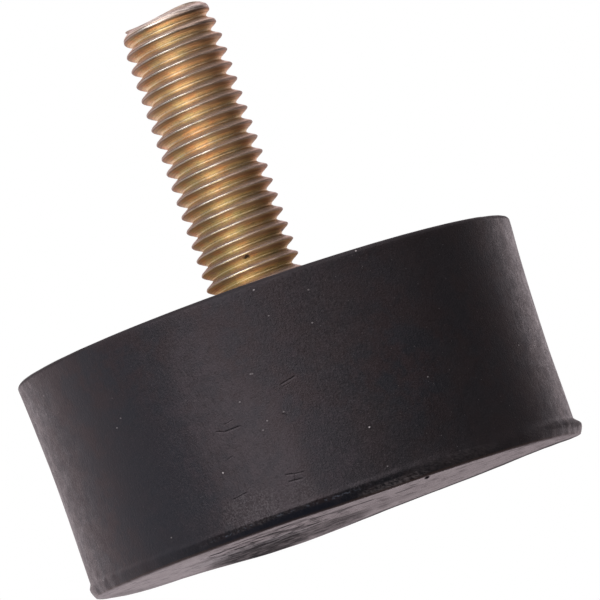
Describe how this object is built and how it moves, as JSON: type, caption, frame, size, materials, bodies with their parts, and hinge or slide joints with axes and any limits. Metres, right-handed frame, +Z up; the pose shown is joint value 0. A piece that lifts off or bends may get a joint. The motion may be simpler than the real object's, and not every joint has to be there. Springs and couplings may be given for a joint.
{
  "type": "rubber foot",
  "caption": "Round black rubber foot with a steel plate bonded flush into its top and a long threaded stud rising from its centre.",
  "frame": {"origin": "centre of the rubber face that stands on the floor", "axes": "+Z up along the stud, away from the floor face; the foot is round about Z"},
  "size_m": [0.0502, 0.0502, 0.0515],
  "materials": {
    "black_rubber": "satin, moulded, with fine scuffs and dust",
    "passivated_plate": "zinc plated, yellow passivated",
    "passivated_thread": "zinc plated, yellow passivated, crests rubbed bright"
  },
  "bodies": {
    "root": {"rubber_body": "black_rubber", "steel_plate": "passivated_plate", "threaded_stud": "passivated_thread"}
  },
  "joints": []
}
